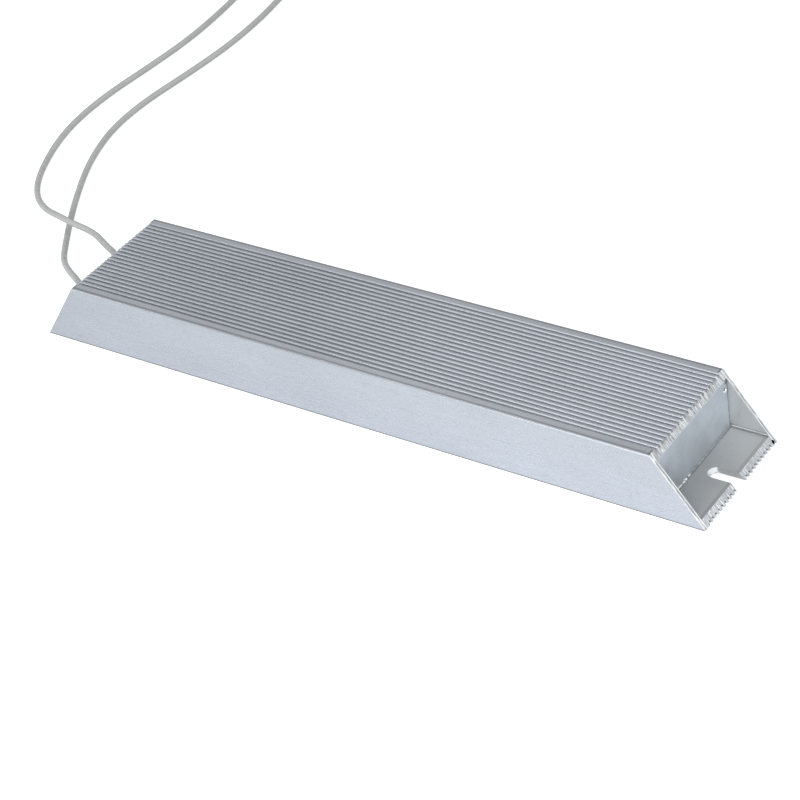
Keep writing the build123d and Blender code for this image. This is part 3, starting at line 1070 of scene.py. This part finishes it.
def sawn_colour(material, at, finish):
    """Saw marks down the slope, streaked and flecked, with a bright line along both walls' edges that is
    partly raised metal and partly a painted highlight.
    """
    # The saw's teeth leave lines 0.1 mm apart; they are drawn coarser to show.
    streaks = patches(material, 0.9, 0.78, 1.0, stretch=DOWN_SLOPE, detail=4.0, low=0.35, high=0.6)
    streaks = patches(material, 0.5, 0.75, 1.0, detail=2.0, low=0.4, high=0.6, over=streaks)
    # The roof's face is darker, and so is the middle of each wall's.
    roof = within(material, at, ON_ROOF)
    streaks = dirt_and_shade(material, streaks, roof, 0.77)
    middle = ("side", CAVITY_HALF_WIDTH + 0.75 * MM, CAVITY_HALF_WIDTH + 1.15 * MM, 0.3 * MM)
    streaks = dirt_and_shade(material, streaks, within(material, at, middle), 0.72)
    flecks = patches(material, 0.5, 0.0, 0.8, stretch=DOWN_SLOPE, detail=2.0, low=0.56, high=0.66)
    # Bright lines along both walls' edges: partly the saw's raised metal, partly a painted highlight, patchy
    # along their length.
    outer_rim = ("side", HALF_WIDTH - 0.4 * MM, HALF_WIDTH + MM, 0.25 * MM)
    inner_rim = ("side", CAVITY_HALF_WIDTH + 0.15 * MM, CAVITY_HALF_WIDTH + 0.4 * MM, 0.2 * MM)
    rims = add_node(
        material,
        "ShaderNodeMath",
        links={0: within(material, at, outer_rim), 1: within(material, at, inner_rim)},
        operation="MAXIMUM",
    )
    rim_highlights = patches(material, 4, 0.5, 1.0, detail=1.0, over=rims.outputs["Value"])
    # Long bright scratches cross the whole roof face.
    scratches = patches(
        material, 0.55, 0.0, 0.5, stretch=LONG_SLOPE, detail=2.0, low=0.5, high=0.6, over=roof
    )
    marks = add_node(material, "ShaderNodeMath", links={0: flecks, 1: scratches}, operation="MAXIMUM")
    bright = add_node(
        material, "ShaderNodeMath", links={0: marks.outputs["Value"], 1: rim_highlights}, operation="MAXIMUM"
    )
    edged = add_node(
        material,
        "ShaderNodeMix",
        links={"Factor": bright.outputs["Value"], "A": painted(material, finish.sawn, streaks)},
        values={"B": linear(finish.burr_and_highlight)},
        data_type="RGBA",
    )
    # A painted shade darkens the cut face round each lower groove's inner end, which lies in shade.
    across = add_node(
        material, "ShaderNodeMath", links={0: at["y"]}, values={1: GROOVE_PITCH / 2}, operation="PINGPONG"
    )
    groove_end_shade = zone(material, across.outputs["Value"], -MM, 0.3 * MM, 0.25 * MM)
    groove_end_shade = within(material, at, RIBBED, ("height", 0.5 * MM, 1.25 * MM, 0.2 * MM), over=groove_end_shade)
    unshaded_share = add_node(
        material, "ShaderNodeMapRange", links={"Value": groove_end_shade}, values={"To Min": 1.0, "To Max": 0.08}
    )
    groove_end_shaded = add_node(
        material,
        "ShaderNodeMix",
        links={"A": edged.outputs["Result"], "B": unshaded_share.outputs["Result"]},
        values={"Factor": 1.0},
        data_type="RGBA",
        blend_type="MULTIPLY",
    )
    return groove_end_shaded.outputs["Result"]


def extruded_aluminium(finish):
    """Aluminium 6063, extruded and left in mill finish, sawn to length.

    The die draws faint lines along it and handling leaves soft clouds. Painted shade darkens the
    grooves and other shaded places, and the inside of the ends stays duller. The saw leaves brighter,
    streaked metal on the slanted ends. Painted highlights brighten the edges of the sawn walls and the
    slots' inner ends.
    """
    material, shader = new_material("extruded_aluminium", metallic=0.88)
    at = places(material)
    slot = within(material, at, *SLOT_BOUNDS)
    shade = skin_shade(material, at, slot)
    inside = inside_zone(material, at, slot)
    skin = add_node(
        material,
        "ShaderNodeMix",
        links={
            "Factor": inside,
            "A": painted(material, finish.aluminium, shade),
            "B": painted(material, finish.cavity, shade),
        },
        data_type="RGBA",
    )
    # The inner end of each slot is painted bright, as a highlight.
    with_slot_highlight = add_node(
        material,
        "ShaderNodeMix",
        links={"Factor": slot_end_highlight(material, at, slot), "A": skin.outputs["Result"]},
        values={"B": linear(finish.burr_and_highlight)},
        data_type="RGBA",
    )
    colour = add_node(
        material,
        "ShaderNodeMix",
        links={"Factor": at["sawn"], "A": with_slot_highlight.outputs["Result"], "B": sawn_colour(material, at, finish)},
        data_type="RGBA",
    )
    smooth = add_node(
        material,
        "ShaderNodeMix",
        links={
            "Factor": inside,
            "A": patches(material, 0.9, 0.25, 0.3, stretch=ALONG, detail=4.0),
            "B": patches(material, 6, 0.38, 0.48),
        },
    )
    roughness = add_node(
        material,
        "ShaderNodeMix",
        links={
            "Factor": at["sawn"],
            "A": smooth.outputs["Result"],
            "B": patches(material, 1.1, 0.5, 0.36, stretch=DOWN_SLOPE),
        },
    )
    height = add_node(
        material,
        "ShaderNodeMix",
        links={
            "Factor": at["sawn"],
            "A": patches(material, 0.9, 0.0, 0.14, stretch=ALONG, detail=4.0),
            "B": patches(material, 1.1, 0.0, 1.0, stretch=DOWN_SLOPE),
        },
    )
    return feed(
        material,
        shader,
        height=height.outputs["Result"],
        depth=0.01,
        base_color=colour.outputs["Result"],
        roughness=roughness.outputs["Result"],
    )


def rolled_aluminium(finish):
    """Aluminium sheet, rolled, blanked and pressed in: smooth, with soft stains.

    The punch mark is painted black inside as shade, a painted shadow darkens the far upper corner, and dirt
    stays in the corner where the sheet meets the wall.
    """
    material, shader = new_material("rolled_aluminium_sheet", metallic=0.85)
    at = places(material)
    shade = patches(material, 9, 0.88, 1.0, detail=4.0)
    shade = patches(material, 0.8, 0.95, 1.0, stretch=(1, 0.2, 1), over=shade)
    edge = within(material, at, ("side", CAVITY_HALF_WIDTH - 0.6 * MM, CAVITY_HALF_WIDTH, 0.3 * MM))
    edge_dirt = patches(material, 1.3, 0.0, 1.0, low=0.4, high=0.6, over=edge)
    shade = dirt_and_shade(material, shade, edge_dirt, 0.6)
    for level, *bounds in PLATE_PAINTED_SHADE:
        shade = dirt_and_shade(material, shade, within(material, at, *bounds), level)
    return feed(
        material,
        shader,
        height=patches(material, 5, 0.0, 1.0),
        depth=0.02,
        base_color=painted(material, finish.plate, shade),
        roughness=patches(material, 6, 0.38, 0.5),
    )


def grained(name, colour, grain, contrast, depth=0.03, stretch=(1, 1, 1), **constants):
    """A finish with one grain: its size and relief are in millimetres."""
    material, shader = new_material(name, **constants)
    shade = patches(material, grain, 1 - contrast, 1.0, stretch=stretch, detail=4.0)
    height = patches(material, grain, 0.0, 1.0, stretch=stretch, detail=4.0)
    return feed(material, shader, height, depth, base_color=painted(material, colour, shade))


def twisted(name, colour, strand, **constants):
    """A finish of slanting strands, drawn seven times coarser than their size in millimetres."""
    material, shader = new_material(name, **constants)
    place = add_node(material, "ShaderNodeTexCoord")
    strands = add_node(
        material,
        "ShaderNodeTexWave",
        links={"Vector": place.outputs["Object"]},
        values={"Scale": 1 / (strand * MM * 20), "Distortion": 0.4, "Detail": 1.0},
        bands_direction="DIAGONAL",
    )
    shade = add_node(
        material,
        "ShaderNodeMapRange",
        links={"Value": strands.outputs["Fac"]},
        values={"To Min": 0.6, "To Max": 1.0},
    )
    under = painted(material, colour, shade.outputs["Result"])
    return feed(material, shader, height=strands.outputs["Fac"], depth=0.1, base_color=under)


def silicone_insulation(finish):
    """Silicone rubber, extruded over the strands: pale, satin, faintly powdery."""
    material, shader = new_material("extruded_silicone_rubber")
    shade = patches(material, 6, 0.9, 1.0)
    shade = patches(material, 0.6, 0.92, 1.0, detail=2.0, over=shade)
    return feed(
        material,
        shader,
        height=patches(material, 2.5, 0.0, 1.0, detail=2.0),
        depth=0.03,
        base_color=painted(material, finish.insulation, shade),
        roughness=patches(material, 3, 0.24, 0.32),
    )


def scraped_cement(finish):
    """Cement that set in the seam, grey, darkened to stand in for the shadow along the plate's foot, and
    white in patches near one side.
    """
    material, shader = new_material("scraped_cement", roughness=0.8)
    shade = patches(material, 1.2, 0.6, 1.0, detail=4.0)
    place = add_node(material, "ShaderNodeTexCoord")
    along = add_node(material, "ShaderNodeSeparateXYZ", links={"Vector": place.outputs["Object"]})
    white_patches = zone(material, along.outputs["Y"], -20 * MM, -8 * MM, 3 * MM)
    white_patches = patches(material, 1.6, 0.0, 1.0, detail=2.0, low=0.42, high=0.5, over=white_patches)
    colour = add_node(
        material,
        "ShaderNodeMix",
        links={"Factor": white_patches, "A": painted(material, finish.bead, shade)},
        values={"B": linear(finish.burr_and_highlight)},
        data_type="RGBA",
    )
    return feed(material, shader, base_color=colour.outputs["Result"])


def finishes(finish):
    """Each material, with the pieces and CAD nodes that show it."""
    # Pressed steatite: matt cream ceramic with a fine even grain.
    steatite = grained("pressed_steatite", finish.steatite, grain=0.8, contrast=0.1, roughness=0.6)
    # Quartz sand, set hard: coarse, dull and sandy.
    sand = grained("quartz_sand", finish.sand, grain=0.5, contrast=0.35, depth=0.15, roughness=0.9)
    # Cast cement: pale grey, dusty and lumpy.
    cement = grained("cast_cement", finish.cement, grain=1.2, contrast=0.45, depth=0.08, roughness=0.85)
    # Aluminium freshly raised by a punch: bright, slightly torn metal.
    punched = grained(
        "punched_aluminium", finish.burr_and_highlight, grain=0.5, contrast=0.15, roughness=0.35, metallic=0.85
    )
    # Split mica: amber flakes with a glassy surface.
    mica = grained(
        "split_mica_sheet", finish.mica, grain=5.0, contrast=0.3, stretch=(0.5, 1, 1), roughness=0.25
    )
    # Rolled nickel strip: warm grey metal with faint rolling lines.
    nickel = grained(
        "rolled_nickel_strip",
        finish.nickel,
        grain=0.6,
        contrast=0.1,
        stretch=(0.1, 1, 1),
        roughness=0.35,
        metallic=1.0,
    )
    # Hot-tinned copper: soft silvery metal with cloudy patches.
    tin = grained("tinned_copper", finish.tin, grain=1.5, contrast=0.12, roughness=0.38, metallic=1.0)
    # Resistance alloy, oxidised by its first heating: dark brownish grey.
    ribbon = grained(
        "oxidised_resistance_ribbon", finish.ribbon, grain=2.0, contrast=0.3, roughness=0.5, metallic=1.0
    )
    # Moulded silicone rubber: off-white and matt.
    rubber = grained("moulded_silicone_rubber", finish.rubber, grain=1.0, contrast=0.06, roughness=0.6)
    # Extruded PVC sleeve: smooth and slightly shiny.
    sleeving = grained("extruded_pvc_sleeve", finish.sleeve, grain=2.0, contrast=0.05, roughness=0.4)
    # Twisted tinned copper strands: silvery ridges that slant round the wire.
    strands = twisted("stranded_tinned_copper", finish.tin, 0.5, roughness=0.35, metallic=1.0)
    # Braided glass sleeve: white, matt, with a slanting weave.
    braid = twisted("braided_glass_sleeve", finish.braid, 0.6, roughness=0.7)
    return {
        extruded_aluminium(finish): ["housing"],
        rolled_aluminium(finish): both(ENDS, "end_plate_*"),
        punched: both(ENDS, "punch_rim_*"),
        steatite: ["winding_former", *both(ENDS, "former_saddle_*")],
        ribbon: ["resistance_winding"],
        mica: ["mica_sheet_upper", "mica_sheet_lower"],
        sand: ["sand_fill_lower", "sand_fill_upper"],
        cement: both(ENDS, "cement_plug_*"),
        scraped_cement(finish): both(ENDS, "cement_bead_*"),
        nickel: ["return_clip", "return_wire", *both(SIDES, "terminal_clip_*")],
        braid: ["return_wire_sleeve"],
        tin: both(SIDES, "ferrule_*", "ring_terminal_*", "ring_terminal_*_detail"),
        strands: both(SIDES, "conductor_*"),
        silicone_insulation(finish): both(SIDES, "lead_tail_*", "lead_*", "lead_*_insulation"),
        rubber: both(SIDES, "lead_bushing_*", "lead_bushing_*_detail"),
        sleeving: both(SIDES, "terminal_sleeve_*", "terminal_sleeve_*_detail"),
    }


class RESISTOR_OT_finishes(bpy.types.Operator):
    """Give every piece its material"""

    bl_idname = "resistor.finishes"
    bl_label = "Apply finishes"

    def execute(self, context):
        for material, pieces in finishes(context.scene.resistor_finish).items():
            for piece in pieces:
                dress(bpy.data.objects[piece], material)
        return {"FINISHED"}


def lay_sweep(stage):
    """A pale floor that turns up all round into a low backdrop."""
    shape = spun(FLOOR_PROFILE, (0, 0, 1), SWEEP_STEPS, closed=False)
    floor = placed(shape, "bench_floor", smooth=False)

    # Matt white card. The camera sees it near white, and darker where the part almost touches
    # it. Shiny surfaces see it pale too.
    material, shader = new_material("pale_floor", roughness=0.9)
    shader.inputs["Base Color"].default_value = linear(stage.floor)
    shader.inputs["Specular IOR Level"].default_value = 0.0
    path = add_node(material, "ShaderNodeLightPath")
    openness = add_node(material, "ShaderNodeAmbientOcclusion", values={"Distance": 5 * MM}, samples=4)
    whiteness = add_node(
        material,
        "ShaderNodeMapRange",
        links={"Value": openness.outputs["AO"]},
        values={"From Max": 0.45, "To Max": stage.floor_glow},
    )
    seen = add_node(
        material,
        "ShaderNodeMath",
        links={0: path.outputs["Is Camera Ray"], 1: whiteness.outputs["Result"]},
        operation="MULTIPLY",
    )
    shiny = add_node(
        material,
        "ShaderNodeMath",
        links={0: path.outputs["Is Glossy Ray"], 1: path.outputs["Is Transmission Ray"]},
        operation="MAXIMUM",
    )
    tint = add_node(
        material,
        "ShaderNodeMix",
        links={"Factor": shiny.outputs["Value"]},
        values={"A": (1, 1, 1, 1), "B": linear(stage.mirrored_tint)},
        data_type="RGBA",
    )
    glow = add_node(
        material,
        "ShaderNodeMath",
        links={0: shiny.outputs["Value"], 2: seen.outputs["Value"]},
        values={1: stage.floor_mirrored},
        operation="MULTIPLY_ADD",
    )
    feed(
        material, shader, emission_strength=glow.outputs["Value"], emission_color=tint.outputs["Result"]
    )
    dress(floor, material)


def hang_lamp(name, place, aim, size, power):
    """A square soft lamp at a place, turned to a point."""
    data = bpy.data.lights.new(name, "AREA")
    data.shape = "SQUARE"
    data.size = size
    data.energy = power
    lamp = bpy.data.objects.new(name, data)
    turn = (Vector(aim) - Vector(place)).to_track_quat("-Z", "Y").to_matrix().to_4x4()
    lamp.matrix_world = Matrix.Translation(Vector(place)) @ turn
    lamp.visible_camera = False
    bpy.context.scene.collection.objects.link(lamp)


class RESISTOR_OT_stage(bpy.types.Operator):
    """Set the floor, the lamps and the sky"""

    bl_idname = "resistor.stage"
    bl_label = "Set stage"

    def execute(self, context):
        stage = context.scene.resistor_stage
        lay_sweep(stage)
        for lamp, (place, aim, width) in LAMPS.items():
            hang_lamp(f"{lamp}_lamp", place, aim, width, getattr(stage, f"{lamp}_power"))
        world = bpy.data.worlds.new("resistor_world")
        context.scene.world = world
        world.use_nodes = True
        world.node_tree.nodes["Background"].inputs["Color"].default_value = (1, 1, 1, 1)
        world.node_tree.nodes["Background"].inputs["Strength"].default_value = stage.sky
        context.scene.view_settings.view_transform = "Standard"
        return {"FINISHED"}


class RESISTOR_PT_panel(bpy.types.Panel):
    """Shows the building steps in the sidebar"""

    bl_idname = "RESISTOR_PT_panel"
    bl_label = "Braking resistor"
    bl_space_type = "VIEW_3D"
    bl_region_type = "UI"
    bl_category = "Resistor"

    def draw(self, context):
        for operator in OPERATORS:
            self.layout.operator(operator.bl_idname)


OPERATORS = (
    RESISTOR_OT_camera,
    RESISTOR_OT_terminals,
    RESISTOR_OT_leads,
    RESISTOR_OT_bushings,
    RESISTOR_OT_seams,
    RESISTOR_OT_finishes,
    RESISTOR_OT_stage,
)
GROUPS = {
    "resistor_view": ResistorView,
    "resistor_sizes": ResistorSizes,
    "resistor_finish": ResistorFinish,
    "resistor_stage": ResistorStage,
}


def register():
    """Add the property groups, operators and panel to Blender."""
    for group in GROUPS.values():
        bpy.utils.register_class(group)
    for operator in OPERATORS:
        bpy.utils.register_class(operator)
    bpy.utils.register_class(RESISTOR_PT_panel)
    for name, group in GROUPS.items():
        setattr(bpy.types.Scene, name, bpy.props.PointerProperty(type=group))


def unregister():
    """Take them out again."""
    for name in GROUPS:
        delattr(bpy.types.Scene, name)
    bpy.utils.unregister_class(RESISTOR_PT_panel)
    for operator in OPERATORS:
        bpy.utils.unregister_class(operator)
    for group in GROUPS.values():
        bpy.utils.unregister_class(group)


def main():
    """Build every piece and the stage."""
    register()
    bpy.ops.resistor.camera()
    bpy.ops.resistor.terminals()
    bpy.ops.resistor.leads()
    bpy.ops.resistor.bushings()
    bpy.ops.resistor.seams()
    bpy.ops.resistor.finishes()
    bpy.ops.resistor.stage()


if __name__ == "__main__":
    main()
